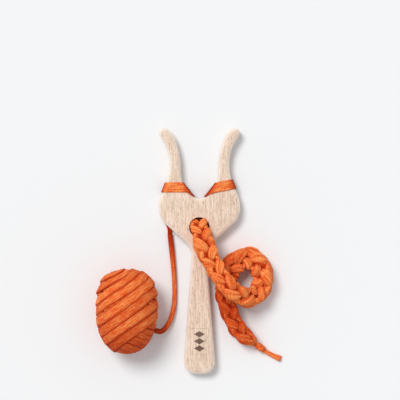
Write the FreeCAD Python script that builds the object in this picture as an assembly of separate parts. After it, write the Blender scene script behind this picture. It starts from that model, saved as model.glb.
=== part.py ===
import FreeCAD, Part
import math
import os

# A lucet, a two-horned wooden fork for making cord by hand, laid flat with its work on it.
#
# The fork is sawn from one beech board, bored once through the head and rounded all over.
# One flat tape yarn is looped round both horns, drops into the throat, runs behind the head
# and comes out of the hole as a finished cord. The other end of the yarn runs from behind
# the left horn to a ball. The cord ends in the slip knot that it was started with.
#
# X runs across the fork, Y from the handle to the horns and Z up from the table. The origin
# is on the table under the middle of the fork. Every size is in millimetres.

V = FreeCAD.Vector

# Sizes of the fork. A width is measured between a left and a right corner of the outline,
# before the corner is rounded.
fork_length = 180.0
fork_width = 60.0
fork_thickness = 9.0
edge_round = 2.8
edge_steps = 2

head_length = 88.0
butt_width = 24.4
butt_round = 8.5
neck_width = 10.4
neck_round = 14.0

flare_height = 22.4
head_side_height = 11.6
head_round = 17.0

waist_width = 36.2
waist_below_tip = 23.3
waist_round = 34.0

tip_outer_width = 65.1
tip_outer_round = 3.6
tip_inner_width = 48.0
tip_inner_round = 4.2
bevel_width = 36.8
bevel_height = 5.5
bevel_round = 20.0

gap_width_high = 28.4
gap_high_below_tip = 18.5
gap_high_round = 60.0
gap_width_low = 26.2
gap_low_below_tip = 39.1
gap_low_round = 12.0
throat_below_tip = 55.8
throat_round = 7.1

hole_diameter = 14.6
hole_above_neck = 15.3
hole_easing = 0.8

# Sizes of the flat tape yarn where it goes round the horns and behind the head
tape_width = 7.2
tape_thickness = 1.3
tape_above_throat = 8.1
tape_below_throat = 1.7
tape_over_floor = 1.0
tape_turn = 3.0
tape_split = 7.0
tape_lap = 1.5
left_tape_slope = 0.0
right_tape_slope = 11.0
outer_wrap = 7.0
strand_width = 6.4
strand_under_hole = 9.0
strand_split = 0.3
curled_run = 7.2

# Sizes of the same yarn where it lies free and curls up into a round strand
yarn_diameter = 4.4
yarn_sides = 6
yarn_run_out = 7.0

# The ball of yarn, whose outer layer is wound flat. The slant is how steeply its turns rise
# to the right, seen from above.
ball_width = 44.0
ball_length = 62.0
ball_x = -52.5
ball_y = -44.0
wound_width = 7.0
wound_thickness = 1.8
winding_turns = 6
winding_slant = 33.0
winding_pole_gap = 22.0
winding_foot_run = 4.0
core_clearance = 2.6
core_sides = 12
core_rings = 7
core_end_tilt = 14.0

# Sizes of the finished cord and of the end that it was started with
cord_diameter = 14.5
cord_diameter_in_hole = 12.6
cord_sides = 8
cord_clearance = 0.3
taper_length = 9.5
knot_diameter = 8.0
knot_neck_diameter = 4.4
tail_diameter = 3.4

# How the first stitches narrow: how far along them, and how much of the way to the knot's neck
taper_form = [(0.0, 0.0), (0.25, 0.1), (0.65, 0.55), (1.0, 1.0)]

# How the knot swells: how far along it, and how much of its full diameter
knot_form = [(0.2, 0.86), (0.5, 1.0), (0.8, 0.86)]

# The most of a side that its two arcs may take, and of a corner's radius that an edge may take
side_share = 0.98
edge_share = 0.9

# How much of the shorter run beside it an arc of a bent path takes
arc_share = 0.45

# Steps in which the gaps of a winding or a cord to itself are measured
gap_step = 1.5

# Lengths that differ by less than this are the same
tolerance = 0.001

# Heights above the table
back_z = tape_thickness
front_z = back_z + fork_thickness
middle_z = back_z + fork_thickness / 2

# Places along the fork
tip_y = fork_length / 2
neck_y = tip_y - head_length
hole_y = neck_y + hole_above_neck

# The free yarn, from the edge of the head to where it rises to the ball
yarn_radius = yarn_diameter / 2
lead_points = [
    (-22.9, 12.6, yarn_radius),
    (-21.9, 5.6, yarn_radius),
    (-20.8, -2.4, yarn_radius),
    (-19.8, -11.4, yarn_radius),
    (-19.0, -21.0, yarn_radius),
    (-18.7, -31.0, yarn_radius),
    (-18.9, -40.5, yarn_radius),
    (-20.4, -48.4, yarn_radius + 1.2),
    (-23.6, -54.6, yarn_radius + 5.0),
    (-28.0, -59.4, yarn_radius + 11.0),
]

# The finished cord: out of the hole, over the neck, over its own loop, round and away
cord_radius = cord_diameter / 2
cord_points = [
    (-1.0, hole_y + 2.9, front_z - 5.2),
    (0.6, hole_y - 3.2, front_z + 1.9),
    (2.9, hole_y - 11.1, front_z + 6.2),
    (5.2, -2.2, 18.6),
    (9.2, -10.6, 21.3),
    (14.2, -18.8, 23.8),
    (20.2, -26.8, 24.6),
    (27.4, -33.2, 20.6),
    (34.6, -36.6, 14.2),
    (42.0, -35.0, 8.6),
    (47.4, -28.6, cord_radius),
    (49.0, -19.6, cord_radius),
    (46.4, -11.8, cord_radius),
    (40.2, -6.2, cord_radius),
    (32.2, -4.8, cord_radius),
    (25.4, -9.0, cord_radius),
    (21.0, -16.2, cord_radius),
    (18.8, -24.4, cord_radius),
    (18.6, -33.0, cord_radius),
    (20.2, -41.4, cord_radius),
    (23.2, -49.0, cord_radius),
    (27.0, -55.6, cord_radius),
    (31.0, -60.6, cord_radius),
    (35.8, -64.2, cord_radius),
]

# The cut end of the yarn, along and across the line in which the cord ends
tail_points = [(0.0, 0.0), (6.0, 0.0), (12.0, 2.4)]


def polar(length, degrees):
    """A flat vector of this length, turned from the X direction."""
    angle = math.radians(degrees)
    return V(length * math.cos(angle), length * math.sin(angle), 0)


def unit(vector):
    """A copy of the vector with length 1."""
    return V(vector).normalize()


def corner_arc(before, corner, after, reach):
    """The arc that rounds a corner and touches both sides at this distance from it."""
    start = corner + unit(before - corner) * reach
    end = corner + unit(after - corner) * reach
    half_turn = (corner - before).getAngle(after - corner) / 2
    inward = unit((start + end) * 0.5 - corner)
    middle = corner + inward * reach * math.tan(half_turn / 2)
    return start, Part.Arc(start, middle, end).toShape(), end


def left_of(heading):
    """The flat direction a quarter turn to the left of this one."""
    return unit(V(-heading.y, heading.x, 0))


def fitted_corners(corners):
    """Corners as (point, radius), with two arcs that would meet on a short side drawn in."""
    count = len(corners)
    points = [V(x, y, 0) for x, y, radius in corners]
    sides = [points[(i + 1) % count] - points[i] for i in range(count)]
    reaches = [
        corners[i][2] * math.tan(sides[i - 1].getAngle(sides[i]) / 2)
        for i in range(count)
    ]
    room = [
        min(1.0, side_share * sides[i].Length / (reaches[i] + reaches[(i + 1) % count]))
        for i in range(count)
    ]
    return [
        (points[i], corners[i][2] * min(room[i - 1], room[i]))
        for i in range(count)
    ]


def rounded_outline(corners, inset, z):
    """A closed wire at height z, set in from an outline whose arcs keep their centres."""
    count = len(corners)
    headings = [unit(corners[(i + 1) % count][0] - corners[i][0]) for i in range(count)]
    points = []
    reaches = []
    for i, (point, radius) in enumerate(corners):
        across = left_of(headings[i - 1])
        onward = left_of(headings[i])
        moved = point + (across + onward) * (inset / (1 + across.dot(onward)))
        turns_left = across.dot(headings[i]) > 0
        drawn = radius - inset if turns_left else radius + inset
        points.append(V(moved.x, moved.y, z))
        reaches.append(drawn * math.tan(headings[i - 1].getAngle(headings[i]) / 2))
    arcs = [
        corner_arc(points[i - 1], points[i], points[(i + 1) % count], reaches[i])
        for i in range(count)
    ]
    edges = []
    for i in range(count):
        edges.append(arcs[i][1])
        edges.append(Part.LineSegment(arcs[i][2], arcs[(i + 1) % count][0]).toShape())
    return Part.Wire(edges)


def throat_corners():
    """The last corner of the gap between the horns and the point of the throat below it."""
    side = V(gap_width_low / 2, tip_y - gap_low_below_tip, 0)
    point = V(0, tip_y - throat_below_tip, 0)
    return side, point


def throat_floor_y():
    """Where the rounded floor of the throat crosses the middle of the fork."""
    side, point = throat_corners()
    half_turn = (point - side).getAngle(V(1, 0, 0) * -1)
    return point.y + throat_round * (1 / math.cos(half_turn) - 1)


def fork_corners():
    """The corners of the fork's outline, up the right side and down the left."""
    butt_y = -fork_length / 2
    head_low_y = neck_y + flare_height
    side, point = throat_corners()
    right = [
        (butt_width / 2, butt_y, butt_round),
        (neck_width / 2, neck_y, neck_round),
        (fork_width / 2, head_low_y, head_round),
        (fork_width / 2, head_low_y + head_side_height, head_round),
        (waist_width / 2, tip_y - waist_below_tip, waist_round),
        (tip_outer_width / 2, tip_y, tip_outer_round),
        (tip_inner_width / 2, tip_y, tip_inner_round),
        (bevel_width / 2, tip_y - bevel_height, bevel_round),
        (gap_width_high / 2, tip_y - gap_high_below_tip, gap_high_round),
        (side.x, side.y, gap_low_round),
    ]
    left = [(-x, y, radius) for x, y, radius in reversed(right)]
    return right + [(point.x, point.y, throat_round)] + left


def fork_blank(outset):
    """The rounded fork without its hole, grown by outset on every side."""
    corners = fitted_corners(fork_corners())
    tightest_round = min(radius for point, radius in corners)
    round_limit = edge_share * min(tightest_round, fork_thickness / 2)
    radius = min(edge_round, round_limit) + outset
    turns = [math.radians(90 * step / edge_steps) for step in range(edge_steps + 1)]
    rounding = [
        (radius * (1 - math.sin(turn)) - outset, radius * (1 - math.cos(turn)) - outset)
        for turn in turns
    ]
    wires = [rounded_outline(corners, inset, back_z + rise) for inset, rise in rounding]
    wires += [rounded_outline(corners, inset, front_z - rise) for inset, rise in rounding[::-1]]
    return Part.makeLoft(wires, True, True)


def make_fork():
    """The fork, with a round hole through the head whose rims are eased."""
    radius = hole_diameter / 2
    fork = fork_blank(0).cut(Part.makeCylinder(radius, fork_thickness, V(0, hole_y, back_z)))
    rims = [
        edge
        for edge in fork.Edges
        if isinstance(edge.Curve, Part.Circle)
        and abs(edge.Curve.Radius - radius) < tolerance
        and edge.BoundBox.ZLength < tolerance
    ]
    return fork.makeChamfer(hole_easing, rims)


def prism(points, low_z, high_z):
    """A straight block over a flat outline of points."""
    loop = [V(point.x, point.y, low_z) for point in points]
    face = Part.Face(Part.makePolygon(loop + loop[:1]))
    return face.extrude(V(0, 0, high_z - low_z))


def ribbon(centreline, widths):
    """The outline of a flat ribbon along a centreline, with its width at each point."""
    left = []
    right = []
    for i, point in enumerate(centreline):
        incoming = unit(point - centreline[i - 1]) if i else unit(centreline[1] - point)
        outgoing = unit(centreline[i + 1] - point) if i + 1 < len(centreline) else incoming
        along = unit(incoming + outgoing)
        across = left_of(along) * (widths[i] / 2 / along.dot(incoming))
        left.append(point + across)
        right.append(point - across)
    return left + right[::-1]


def tape_line(side, slope):
    """Where the tape leaves the throat's wall, which way it runs and where it goes behind.

    side is -1 for the left horn and 1 for the right, and slope is the tape's rise outwards.
    """
    angle = math.radians(slope)
    heading = V(side * math.cos(angle), math.sin(angle), 0)
    wall = V(side * gap_width_low / 2, throat_floor_y() + tape_above_throat, 0)
    reach = fork_width / 2 - outer_wrap - gap_width_low / 2
    return wall, heading, wall + heading * (reach / math.cos(angle))


def rectangle(x_1, x_2, y_1, y_2):
    """The four corners of an upright rectangle, in order round it."""
    return [V(x_1, y_1, 0), V(x_1, y_2, 0), V(x_2, y_2, 0), V(x_2, y_1, 0)]


def horn_loop(side, slope, strip, strip_end_width):
    """The tape round one horn, in one piece with the flat runs of it behind the head.

    The tape is the part of a thin skin over the fork that lies over and under flat outlines,
    so it fits the wood everywhere. It goes over the throat's rim beside the middle. The strip
    is the centreline of the run behind the head, which has its end width in its last run.
    """
    skin = fork_blank(tape_thickness).cut(fork_blank(0))
    top_z = front_z + tape_thickness
    wall, heading, behind = tape_line(side, slope)
    half = left_of(heading) * (side * tape_width / 2)
    far = wall + heading * fork_width
    inner_x = side * tape_split / 2
    outer_x = inner_x + side * strand_width
    low_y = throat_floor_y() - tape_below_throat
    strand_start = V((inner_x + outer_x) / 2, low_y + tape_lap, 0)
    strand_end = V(
        side * (strand_split + strand_width) / 2,
        hole_y + hole_diameter / 2 - strand_under_hole,
        0,
    )

    front = [
        far + half,
        wall + half,
        V(inner_x, (wall + half).y, 0),
        V(inner_x, throat_floor_y() + tape_over_floor, 0),
        wall - heading * tape_turn - half,
        far - half,
    ]
    outside = [far + half, behind + half, behind - half, far - half]
    drop = rectangle(inner_x, outer_x, low_y, wall.y)
    widths = [tape_width] * (len(strip) - 2) + [strip_end_width] * 2
    pieces = [
        skin.common(prism(front, middle_z, top_z)),
        skin.common(prism(outside, 0, middle_z)),
        skin.common(prism(drop, 0, middle_z)),
        prism(ribbon([strand_start, strand_end], [strand_width] * 2), 0, back_z),
        prism(ribbon(strip, widths), 0, back_z),
    ]
    return pieces[0].multiFuse(pieces[1:]).removeSplitter()


def make_left_horn_loop():
    """The loop on the left horn, whose outer end runs down behind the head to the ball."""
    behind = tape_line(-1, left_tape_slope)[2]
    end = V(lead_points[0][0], lead_points[0][1], 0)
    onward = V(lead_points[1][0], lead_points[1][1], 0)
    last_run = unit(end - onward) * curled_run
    strip = [
        behind + V(0, tape_width / 2, 0),
        behind - V(0, tape_width, 0),
        end + last_run,
        end,
    ]
    return horn_loop(-1, left_tape_slope, strip, yarn_diameter)


def make_right_horn_loop():
    """The loop on the right horn, whose outer end slants behind the head to the hole."""
    wall, heading, behind = tape_line(1, right_tape_slope)
    strip = [behind + heading * tape_lap, behind, V(hole_diameter / 4, hole_y, 0)]
    return horn_loop(1, right_tape_slope, strip, tape_width)


def bent_path(points):
    """Straight runs joined by tangent arcs, as a wire, with the radius of each arc."""
    corners = [V(*point) for point in points]
    edges = []
    radii = []
    start = corners[0]
    for i in range(1, len(corners) - 1):
        before, corner, after = corners[i - 1 : i + 2]
        shorter = min((corner - before).Length, (after - corner).Length)
        reach = arc_share * shorter
        half_turn = (corner - before).getAngle(after - corner) / 2
        radii.append(reach / math.tan(half_turn))
        arc_start, arc, arc_end = corner_arc(before, corner, after, reach)
        edges.append(Part.LineSegment(start, arc_start).toShape())
        edges.append(arc)
        start = arc_end
    edges.append(Part.LineSegment(start, corners[-1]).toShape())
    return Part.Wire(edges), radii


def strand_section(place, heading, diameter, sides):
    """A wire of flat sides, square to a heading, with its corners on the strand's round.

    Its lowest side lies level where the heading is level.
    """
    upward = unit(V(0, 0, 1) - heading * heading.z)
    across = heading.cross(upward)
    turns = [math.radians(360 * (corner + 0.5) / sides) for corner in range(sides)]
    corners = [
        place + (upward * math.cos(turn) + across * math.sin(turn)) * (diameter / 2)
        for turn in turns
    ]
    return Part.makePolygon(corners + corners[:1])


def path_start(path):
    """Where a wire starts, and which way it runs there."""
    first = path.Edges[0]
    return first.valueAt(first.FirstParameter), first.tangentAt(first.FirstParameter)


def sweep(path, section, name):
    """A section carried along a wire, with its volume set against its area and length."""
    solid = path.makePipeShell([section], True, False)
    expected = Part.Face(section).Area * path.Length
    print(f"{name}: {path.Length:.1f} mm long, volume ratio {solid.Volume / expected:.4f}")
    return solid


def make_tube(points, diameter, sides, name):
    """A cord's tube, with its bends printed."""
    path, radii = bent_path(points)
    print(f"{name}: bend radii", [round(radius, 1) for radius in radii])
    return sweep(path, strand_section(*path_start(path), diameter, sides), name)


def least_gap(path, diameter, apart):
    """The least gap between stretches of one tube that lie this far apart along it."""
    points = path.discretize(Distance=gap_step)
    skip = int(apart / gap_step)
    return min(
        (points[i] - points[j]).Length
        for i in range(len(points))
        for j in range(i + skip, len(points))
    ) - diameter


def strand_ring(place, diameter):
    """The corners of a flat ring round a place, with as many sides as the cord has."""
    turns = [360 * (corner + 0.5) / cord_sides for corner in range(cord_sides)]
    return [place + polar(diameter / 2, turn) for turn in turns]


def make_lucet_cord():
    """The finished cord, drawn in where it fills the hole and pulled against its low side."""
    path = bent_path(cord_points)[0]
    gap = least_gap(path, cord_diameter, math.pi * cord_diameter)
    print(f"lucet_cord: least gap to itself {gap:.2f} mm")
    tube = make_tube(cord_points, cord_diameter, cord_sides, "lucet_cord")
    free = tube.common(Part.makeBox(
        fork_length, fork_length, fork_length, V(-fork_length / 2, -fork_length / 2, front_z)
    ))
    radius = cord_diameter_in_hole / 2
    plug_y = hole_y - (hole_diameter / 2 - radius - cord_clearance)
    foot = strand_ring(V(0, plug_y, 0), cord_diameter_in_hole)
    plug = prism(foot, back_z, front_z + cord_radius / 2)
    return free.fuse(plug).removeSplitter()


def cord_end():
    """Where the cord meets its first stitches, and which way it points there."""
    start = V(*cord_points[-1])
    return start, unit(start - V(*cord_points[-2]))


def flat_sided_solid(wires):
    """A solid through parallel wires of the same shape, all of whose sides are flat."""
    rings = [[vertex.Point for vertex in wire.OrderedVertexes] for wire in wires]
    faces = [Part.Face(wires[0]), Part.Face(wires[-1])]
    for low, high in zip(rings, rings[1:]):
        for i in range(len(low)):
            corners = [low[i - 1], low[i], high[i], high[i - 1]]
            faces.append(Part.Face(Part.makePolygon(corners + corners[:1])))
    solid = Part.Solid(Part.Shell(faces))
    if solid.Volume < 0:
        solid.reverse()
    return solid


def round_lump(place, heading, rings):
    """A lump that lies on the table, through rings given as (distance, diameter)."""
    wires = []
    for distance, diameter in rings:
        middle = place + heading * distance
        middle.z = diameter / 2
        wires.append(strand_section(middle, heading, diameter, cord_sides))
    return flat_sided_solid(wires)


def make_cast_on_end():
    """The cord's first stitches, which narrow towards the slip knot."""
    start, heading = cord_end()
    narrowing = knot_neck_diameter - cord_diameter
    return round_lump(start, heading, [
        (share * taper_length, cord_diameter + narrowed * narrowing)
        for share, narrowed in taper_form
    ])


def make_cast_on_knot():
    """The slip knot, a round lump between the narrowed cord and the cut end."""
    start, heading = cord_end()
    swollen = [(share * knot_diameter, size * knot_diameter) for share, size in knot_form]
    ends = [(0, knot_neck_diameter), (knot_diameter, tail_diameter)]
    return round_lump(start + heading * taper_length, heading, ends[:1] + swollen + ends[1:])


def make_cut_tail():
    """The short cut end of the yarn past the knot."""
    start, heading = cord_end()
    origin = start + heading * (taper_length + knot_diameter)
    origin.z = tail_diameter / 2
    points = [origin + heading * x + left_of(heading) * y for x, y in tail_points]
    return make_tube([tuple(point) for point in points], tail_diameter, yarn_sides, "cut_tail")


def winding_point(turn):
    """A point on the middle of the ball's winding after this many turns."""
    pole_gap = math.radians(winding_pole_gap)
    from_pole = pole_gap + (math.pi - 2 * pole_gap) * turn / winding_turns
    swing = -2 * math.pi * (turn + 0.25)
    rise = math.tan(math.radians(winding_slant)) * ball_width / ball_length
    slant = math.degrees(math.atan(rise))
    pole = polar(1, slant - 90)
    side = polar(1, slant)
    on_ball = (
        pole * math.cos(from_pole)
        + side * (math.sin(from_pole) * math.cos(swing))
        + V(0, 0, 1) * (math.sin(from_pole) * math.sin(swing))
    )
    half_width = (ball_width - wound_thickness) / 2
    half_length = (ball_length - wound_thickness) / 2
    return V(
        ball_x + half_width * on_ball.x,
        ball_y + half_length * on_ball.y,
        ball_width / 2 + half_width * on_ball.z,
    )


def ball_outward(point):
    """Straight out of the ball's surface at a point of its winding."""
    return unit(V(
        (point.x - ball_x) / ball_width**2,
        (point.y - ball_y) / ball_length**2,
        (point.z - ball_width / 2) / ball_width**2,
    ))


def winding_heading(turn):
    """Which way the winding runs after this many turns."""
    return unit(winding_point(turn + 0.001) - winding_point(turn - 0.001))


def arc_by_tangents(start, crossing, end):
    """The arc from start to end whose two end tangents cross at a point as far from each."""
    half_chord = (end - start).Length / 2
    weight = half_chord / (crossing - start).Length
    middle = (start + end + crossing * (2 * weight)) * (1 / (2 * (1 + weight)))
    return Part.Arc(start, middle, end).toShape()


def biarc(start, start_heading, end, end_heading):
    """Two arcs that leave start and reach end along the two headings, and join smoothly."""
    span = end - start
    a = 2 * (start_heading.dot(end_heading) - 1)
    b = -2 * span.dot(start_heading + end_heading)
    c = span.dot(span)
    reach = (-b - math.sqrt(b * b - 4 * a * c)) / (2 * a)
    first = start + start_heading * reach
    second = end - end_heading * reach
    middle = (first + second) * 0.5
    return [arc_by_tangents(start, first, middle), arc_by_tangents(middle, second, end)]


def winding_foot():
    """Where the free yarn meets the winding, a short run before its first turn."""
    return winding_point(0) - winding_heading(0) * winding_foot_run


def wound_section(place, heading):
    """The flattened yarn's rectangle at the foot of the winding, flat on the ball."""
    outward = ball_outward(winding_point(0))
    outward = unit(outward - heading * heading.dot(outward)) * (wound_thickness / 2)
    across = heading.cross(outward).normalize() * (wound_width / 2)
    corners = [
        place + across + outward,
        place - across + outward,
        place - across - outward,
        place + across - outward,
    ]
    return Part.makePolygon(corners + corners[:1])


def make_yarn_ball_winding():
    """The outer layer of the ball, one unbroken strand from the free yarn to the far pole.

    It is pressed flat where the ball rests on the table.
    """
    edges = [Part.LineSegment(winding_foot(), winding_point(0)).toShape()]
    for quarter in range(4 * winding_turns):
        here = quarter / 4
        there = (quarter + 1) / 4
        edges += biarc(
            winding_point(here), winding_heading(here), winding_point(there), winding_heading(there)
        )
    path = Part.Wire(edges)
    gap = least_gap(path, wound_width, ball_width)
    print(f"yarn_ball_winding: {winding_turns} turns, least gap to itself {gap:.2f} mm")
    winding = sweep(path, wound_section(*path_start(path)), "yarn_ball_winding")
    corner = V(ball_x - ball_length, ball_y - ball_length, 0)
    return winding.common(Part.makeBox(2 * ball_length, 2 * ball_length, 2 * ball_width, corner))


def make_yarn_ball_core():
    """The wound yarn under the outer layer, as one plain egg."""
    inset = wound_thickness + core_clearance
    half_width = ball_width / 2 - inset
    half_length = ball_length / 2 - inset
    end_tilt = 90 - core_end_tilt
    rings = []
    for step in range(core_rings):
        tilt = math.radians(end_tilt * (2 * step / (core_rings - 1) - 1))
        middle = V(ball_x, ball_y + half_length * math.sin(tilt), ball_width / 2)
        across = 2 * half_width * math.cos(tilt)
        rings.append(strand_section(middle, V(0, 1, 0), across, core_sides))
    return flat_sided_solid(rings)


def make_working_yarn():
    """The free yarn, from the tape behind the head up to the first turn on the ball."""
    foot = winding_foot()
    run_out = foot - winding_heading(0) * yarn_run_out
    points = lead_points + [tuple(run_out), tuple(foot)]
    return make_tube(points, yarn_diameter, yarn_sides, "working_yarn")


def main():
    os.makedirs("parts", exist_ok=True)
    nodes = {
        "fork": make_fork(),
        "left_horn_loop": make_left_horn_loop(),
        "right_horn_loop": make_right_horn_loop(),
        "working_yarn": make_working_yarn(),
        "yarn_ball_winding": make_yarn_ball_winding(),
        "yarn_ball_core": make_yarn_ball_core(),
        "lucet_cord": make_lucet_cord(),
        "cast_on_end": make_cast_on_end(),
        "cast_on_knot": make_cast_on_knot(),
        "cut_tail": make_cut_tail(),
    }
    for name, shape in nodes.items():
        solids = len(shape.Solids)
        box = shape.BoundBox
        print(
            f"{name}: valid {shape.isValid()}, solids {solids}, volume {shape.Volume:.0f} mm3,",
            f"x {box.XMin:.2f} to {box.XMax:.2f}, y {box.YMin:.2f} to {box.YMax:.2f},",
            f"z {box.ZMin:.2f} to {box.ZMax:.2f}",
        )
        shape.exportStep(f"parts/{name}.step")


main()
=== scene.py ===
# %% [markdown]
# # A lucet with its work on it
#
# A lucet is a two-horned wooden fork for making cord by hand. This one lies flat on a table
# with one flat orange yarn on it: a ball, a loop round each horn, and the thick cord that
# comes out of the hole. The frame gives the construction at its real size, and this lesson
# gives every piece its finish. All lengths are in metres.

# %% Load the fixed frame
import itertools
import math
import random

import bmesh
import bpy
from mathutils import Matrix, Vector


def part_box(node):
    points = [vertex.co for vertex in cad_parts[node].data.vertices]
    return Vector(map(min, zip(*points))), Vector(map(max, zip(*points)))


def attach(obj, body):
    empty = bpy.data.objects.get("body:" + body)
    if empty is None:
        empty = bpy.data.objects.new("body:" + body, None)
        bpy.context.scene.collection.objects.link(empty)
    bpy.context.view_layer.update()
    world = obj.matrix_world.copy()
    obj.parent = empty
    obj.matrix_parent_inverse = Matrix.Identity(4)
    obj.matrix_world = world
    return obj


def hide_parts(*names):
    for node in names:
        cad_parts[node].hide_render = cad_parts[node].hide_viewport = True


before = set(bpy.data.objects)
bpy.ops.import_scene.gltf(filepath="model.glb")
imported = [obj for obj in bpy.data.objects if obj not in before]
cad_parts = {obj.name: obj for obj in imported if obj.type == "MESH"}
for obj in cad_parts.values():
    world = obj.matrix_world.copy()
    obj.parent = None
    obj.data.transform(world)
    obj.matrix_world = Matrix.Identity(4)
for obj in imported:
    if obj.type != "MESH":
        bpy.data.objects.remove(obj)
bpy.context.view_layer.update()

mm = 0.001
up = Vector((0, 0, 1))
print("frame:", sorted(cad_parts))

# %% [markdown]
# ## The camera
#
# The picture looks straight down on the tool from far away, so nothing seems to lean. A long
# lens high over the table gives that. Its length follows from how wide a stretch of table the
# picture should hold, so the framing stays right if the camera is moved up or down.

# %% Camera
view_centre = Vector((0.4 * mm, 37.4 * mm))
view_width = 294.6 * mm
camera_height = 1.6
sensor_width = 36.0

bpy.ops.object.select_all(action="DESELECT")
bpy.ops.object.camera_add(location=(view_centre.x, view_centre.y, camera_height), rotation=(0, 0, 0))
camera = bpy.context.object
camera.name = "camera_above"
camera.data.sensor_width = sensor_width
camera.data.lens = sensor_width * camera_height / view_width
bpy.context.scene.camera = camera
bpy.context.scene.view_settings.view_transform = "Standard"
print(f"camera: {camera.data.lens:.0f} mm lens, {view_width / mm:.0f} mm of table across the picture")

# %% [markdown]
# ## The routes of the yarn and the cord
#
# A soft strand has a real length and lies where it fell, so its route is a list of places,
# with a height of their own only where the strand leaves the table. A NURBS spline turns that
# list into one smooth line. The line is read back as points, and everything that follows the
# strand is laid along those points.

# %% Places that the frame gives
fork_low, fork_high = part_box("fork")
back_z = fork_low.z
front_z = fork_high.z
hole_y = 17.3 * mm
hole_radius = 7.3 * mm
hole_place = Vector((0, hole_y, front_z))

cord_diameter = 14.5 * mm
cord_radius = cord_diameter / 2
yarn_diameter = 4.4 * mm
yarn_radius = yarn_diameter / 2
print(f"fork: from {back_z / mm:.1f} to {front_z / mm:.1f} mm over the table")

# %% Routes
curve_steps = 24
cord_over_wood = [
    (-0.0003, hole_y - 0.0002, back_z + 0.0006),
    (-0.0004, hole_y - 0.0002, back_z + 0.0046),
    (-0.0001, hole_y - 0.0014, front_z + 0.0009),
    (0.0023, hole_y - 0.0084, front_z + 0.0063),
    (0.0058, -0.0022, 0.0186),
    (0.0107, -0.0106, 0.0213),
    (0.0154, -0.0186, 0.0238),
    (0.0210, -0.0260, 0.0246),
    (0.0276, -0.0314, 0.0206),
    (0.0342, -0.0338, 0.0142),
    (0.0408, -0.0324, 0.0086),
]
cord_on_table = [
    (0.0456, -0.0266),
    (0.0470, -0.0186),
    (0.0450, -0.0112),
    (0.0396, -0.0060),
    (0.0322, -0.0048),
    (0.0254, -0.0090),
    (0.0210, -0.0162),
    (0.0188, -0.0244),
    (0.0186, -0.0330),
    (0.0206, -0.0414),
    (0.0237, -0.0490),
    (0.0270, -0.0556),
    (0.0310, -0.0606),
    (0.0358, -0.0642),
]
lead_on_table = [
    (-0.0217, 0.0126),
    (-0.0209, 0.0056),
    (-0.0200, -0.0024),
    (-0.0191, -0.0114),
    (-0.0184, -0.0210),
    (-0.0182, -0.0310),
    (-0.0185, -0.0405),
]
lead_to_ball = [
    (-0.0204, -0.0484, yarn_radius + 0.0008),
    (-0.0232, -0.0548, yarn_radius + 0.0024),
    (-0.0286, -0.0604, yarn_radius + 0.0044),
]
cord_route = cord_over_wood + [(x, y, cord_radius) for x, y in cord_on_table]
lead_route = [(x, y, yarn_radius) for x, y in lead_on_table] + lead_to_ball


def smooth_line(route):
    """The points of one smooth NURBS line along a route."""
    curve = bpy.data.curves.new("route", "CURVE")
    curve.dimensions = "3D"
    curve.resolution_u = curve_steps
    spline = curve.splines.new("NURBS")
    spline.points.add(len(route) - 1)
    for control, place in zip(spline.points, route):
        control.co = (*place, 1)
    spline.order_u = 3
    spline.use_endpoint_u = True
    holder = bpy.data.objects.new("route", curve)
    mesh = bpy.data.meshes.new_from_object(holder)
    line = [vertex.co.copy() for vertex in mesh.vertices]
    bpy.data.meshes.remove(mesh)
    bpy.data.objects.remove(holder)
    bpy.data.curves.remove(curve)
    return line


class Line:
    """A line of points that can be asked where it is at any distance along it."""

    def __init__(self, points):
        self.points = points
        self.distances = [0.0]
        for before, after in zip(points, points[1:]):
            self.distances.append(self.distances[-1] + (after - before).length)
        self.length = self.distances[-1]
        self.found = 0

    def at(self, distance):
        """The place and the heading there. Past either end the line runs straight on."""
        i = self.found
        while i > 0 and distance < self.distances[i]:
            i -= 1
        while i < len(self.points) - 2 and distance > self.distances[i + 1]:
            i += 1
        self.found = i
        step = self.points[i + 1] - self.points[i]
        share = (distance - self.distances[i]) / step.length
        return self.points[i] + step * share, step.normalized()

    def even(self, step):
        """Places at even distances of about this step, from one end to the other."""
        count = max(2, round(self.length / step))
        return [self.at(self.length * i / count)[0] for i in range(count + 1)]


def ease(value):
    """A number from 0 to 1 with soft ends."""
    value = min(1.0, max(0.0, value))
    return value * value * (3 - 2 * value)


cord_line = Line(smooth_line(cord_route))
print(f"cord: {cord_line.length / mm:.0f} mm long")

# %% [markdown]
# ## Working on one piece at a time
#
# Blender's operators act on whatever is selected. The frame's nodes are still selected after
# they are loaded, so each step first selects only its own piece. A piece that starts as a copy
# of one of the frame's nodes gets its own mesh, because the node itself is never changed.


# %% Helpers for selecting and copying
merge_distance = 0.002 * mm


def select_only(piece):
    """Makes this the one selected and active piece."""
    bpy.ops.object.select_all(action="DESELECT")
    piece.select_set(True)
    bpy.context.view_layer.objects.active = piece


def edit_whole(piece):
    """Opens a piece for editing, with all of it selected."""
    select_only(piece)
    bpy.ops.object.mode_set(mode="EDIT")
    bpy.ops.mesh.select_all(action="SELECT")


def copy_of_node(node, name):
    """A new piece that starts with the shape of one of the frame's nodes, merged whole."""
    piece = bpy.data.objects.new(name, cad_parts[node].data.copy())
    bpy.context.scene.collection.objects.link(piece)
    piece.data.name = name
    piece.data.materials.clear()
    edit_whole(piece)
    bpy.ops.mesh.remove_doubles(threshold=merge_distance)
    bpy.ops.object.mode_set(mode="OBJECT")
    return piece


def apply_modifier(piece, kind, **settings):
    """Adds a modifier to a piece, sets it and applies it."""
    select_only(piece)
    bpy.ops.object.modifier_add(type=kind)
    modifier = piece.modifiers[-1]
    for name, value in settings.items():
        setattr(modifier, name, value)
    bpy.ops.object.modifier_apply(modifier=modifier.name)


def count_triangles(piece):
    """The number of triangles in a piece, for the printed record."""
    return sum(len(polygon.vertices) - 2 for polygon in piece.data.polygons)


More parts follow.
